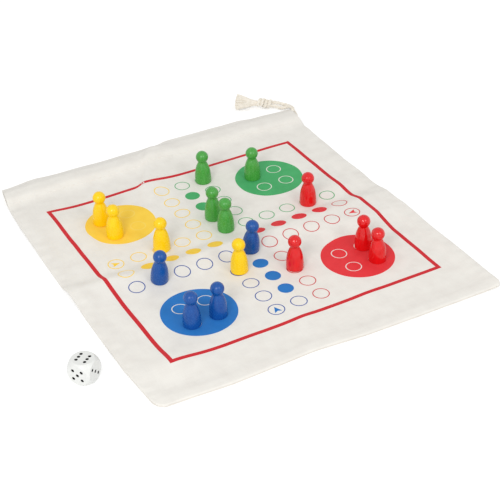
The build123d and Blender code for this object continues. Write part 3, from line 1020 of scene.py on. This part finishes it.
def stitches(name, line, gap, radius, replaced):
    """A row of separate stitches along a line."""
    line = evenly(line, 0.3)
    lengths = np.concatenate(([0.0], np.cumsum(np.linalg.norm(np.diff(line, axis=0), axis=1))))
    runs = []
    for start in np.arange(gap, lengths[-1] - stitch_length, stitch_length + gap):
        at = start + stitch_length * np.array((0.0, 0.08, 0.3, 0.5, 0.7, 0.92, 1.0))
        stitch = np.stack([np.interp(at, lengths, line[:, axis]) for axis in range(3)], axis=1)
        stitch[:, 2] += radius * np.array((-1.2, -0.5, 0.2, 0.4, 0.2, -0.5, -1.2))
        runs.append((stitch, radius * np.array((0.5, 0.85, 1, 1.05, 1, 0.85, 0.5))))
    points, faces = tubes(runs, 7)
    row = add_piece(name, points, faces, thread, "bag")
    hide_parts(replaced)
    return row


def casing_row(height, row_y, on_lie):
    """The line of the casing's stitching on one ply, which follows the cloth's lie if on_lie is set."""
    x = np.linspace(casing_left + 0.5, casing_right - 0.5, 300)
    y = row_y + mouth_shift(x)
    z = height + waves(x, y) * on_lie
    return np.stack((x, y, z), axis=1)


def side_row(side, low_y):
    """The line of one side seam, between the two plies."""
    y = np.linspace(low_y, casing_y - 1, 320)
    x = left_edge(y) + seam_inset if side < 0 else right_edge(y) - seam_inset
    return np.stack((x, y, seam_height + lift(x, y)), axis=1)


def bottom_row():
    x = np.linspace(-112, 117, 310)
    y = bottom_seam_y + bottom_shift(x)
    return np.stack((x, y, seam_height + lift(x, y)), axis=1)


casing_row_y = casing_y + 1.2
front_row_height = float(np.interp(casing_row_y, *np.array(front_casing[:6]).T)) + cloth / 2
front_stitching = stitches("front_casing_stitches", casing_row(front_row_height, casing_row_y, True),
                           casing_gap, front_casing_thread, "front_casing_stitching")
back_stitching = stitches("back_casing_stitches", casing_row(back_row_height, casing_row_y, False),
                          casing_gap, back_casing_thread, "back_casing_stitching")
left_seam = stitches("left_seam_stitches", side_row(-1, -131), seam_gap, seam_thread, "side_seam_left")
right_seam = stitches("right_seam_stitches", side_row(1, -136), seam_gap, seam_thread, "side_seam_right")
bottom_seam = stitches("bottom_seam_stitches", bottom_row(), seam_gap, seam_thread, "bottom_seam")


# Drawstring inside the casing

def make_casing_cord():
    turn_middle = ((back_bore[0] + front_bore[0]) / 2, (back_bore[1] + front_bore[1]) / 2)
    reach = math.dist(back_bore, front_bore) / 2
    tilt = math.atan2(front_bore[1] - back_bore[1], front_bore[0] - back_bore[0])
    bend = [(turn_x - reach * math.sin(angle),
             turn_middle[0] - reach * math.cos(angle) * math.cos(tilt),
             turn_middle[1] - reach * math.cos(angle) * math.sin(tilt))
            for angle in np.linspace(0, math.pi, 24)]
    line = [(casing_right, *back_bore)] + bend + [(casing_right, *front_bore)]
    points, faces = tubes(twisted(line, cord_diameter, step=0.9), 7)
    cord = add_piece("casing_cord", points, faces, cord_cotton, "drawstring")
    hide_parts("drawstring_in_casing")


make_casing_cord()


# Pawns and die keep their solids and take their materials

for name, node in frame["nodes"].items():
    if name.startswith("pawn_"):
        node.material_slots[0].material = lacquers[name.split("_")[1]]
frame["nodes"]["die"].material_slots[0].material = die_white
frame["nodes"]["die_pips"].material_slots[0].material = pip_black


# Studio

def seen_or_mirrored(nodes, links):
    """One where a ray comes straight from the camera or off something glossy or clear."""
    path = nodes.new("ShaderNodeLightPath")
    total = None
    for name in ("Is Camera Ray", "Is Glossy Ray", "Is Transmission Ray"):
        if total is None:
            total = path.outputs[name]
            continue
        add = nodes.new("ShaderNodeMath")
        add.operation = "ADD"
        add.use_clamp = True
        links.new(total, add.inputs[0])
        links.new(path.outputs[name], add.inputs[1])
        total = add.outputs[0]
    return total


def make_world(light):
    world = bpy.data.worlds.new("studio")
    bpy.context.scene.world = world
    world.use_nodes = True
    nodes, links = world.node_tree.nodes, world.node_tree.links
    nodes.clear()
    lit = nodes.new("ShaderNodeBackground")
    lit.inputs["Color"].default_value = (1, 1, 1, 1)
    lit.inputs["Strength"].default_value = light
    shown = nodes.new("ShaderNodeBackground")
    shown.inputs["Color"].default_value = (1, 1, 1, 1)
    shown.inputs["Strength"].default_value = 1.0
    mix = nodes.new("ShaderNodeMixShader")
    links.new(seen_or_mirrored(nodes, links), mix.inputs["Fac"])
    links.new(lit.outputs[0], mix.inputs[1])
    links.new(shown.outputs[0], mix.inputs[2])
    links.new(mix.outputs[0], nodes.new("ShaderNodeOutputWorld").inputs["Surface"])


def make_floor(glow):
    """A white floor that keeps the object's shadow and runs into the white background."""
    size = 4.0
    mesh = bpy.data.meshes.new("floor")
    corners = [(-size, -size, -0.0001), (size, -size, -0.0001), (size, size, -0.0001), (-size, size, -0.0001)]
    mesh.from_pydata(corners, [], [(0, 1, 2, 3)])
    material = bpy.data.materials.new("floor_white")
    material.use_nodes = True
    nodes, links = material.node_tree.nodes, material.node_tree.links
    nodes.clear()
    matt = nodes.new("ShaderNodeBsdfDiffuse")
    matt.inputs["Color"].default_value = (0.9, 0.9, 0.9, 1)
    emission = nodes.new("ShaderNodeEmission")
    links.new(seen_or_mirrored(nodes, links), emission.inputs["Strength"])
    emission.inputs["Color"].default_value = (glow, glow, glow, 1)
    both = nodes.new("ShaderNodeAddShader")
    links.new(matt.outputs[0], both.inputs[0])
    links.new(emission.outputs[0], both.inputs[1])
    links.new(both.outputs[0], nodes.new("ShaderNodeOutputMaterial").inputs["Surface"])
    mesh.materials.append(material)
    floor = bpy.data.objects.new("floor", mesh)
    bpy.context.collection.objects.link(floor)


def make_lamp(name, place, size, watts):
    data = bpy.data.lights.new(name, "AREA")
    data.shape = "SQUARE"
    data.size = size
    data.energy = watts
    lamp = bpy.data.objects.new(name, data)
    lamp.location = place
    lamp.rotation_euler = (-Vector(place)).to_track_quat("-Z", "Y").to_euler()
    bpy.context.collection.objects.link(lamp)


make_world(0.72)
make_floor(0.3)
make_lamp("key", (-0.90, -0.93, 0.94), 0.5, 8.3)
make_lamp("fill", (0.31, -1.26, 0.94), 0.5, 3.7)
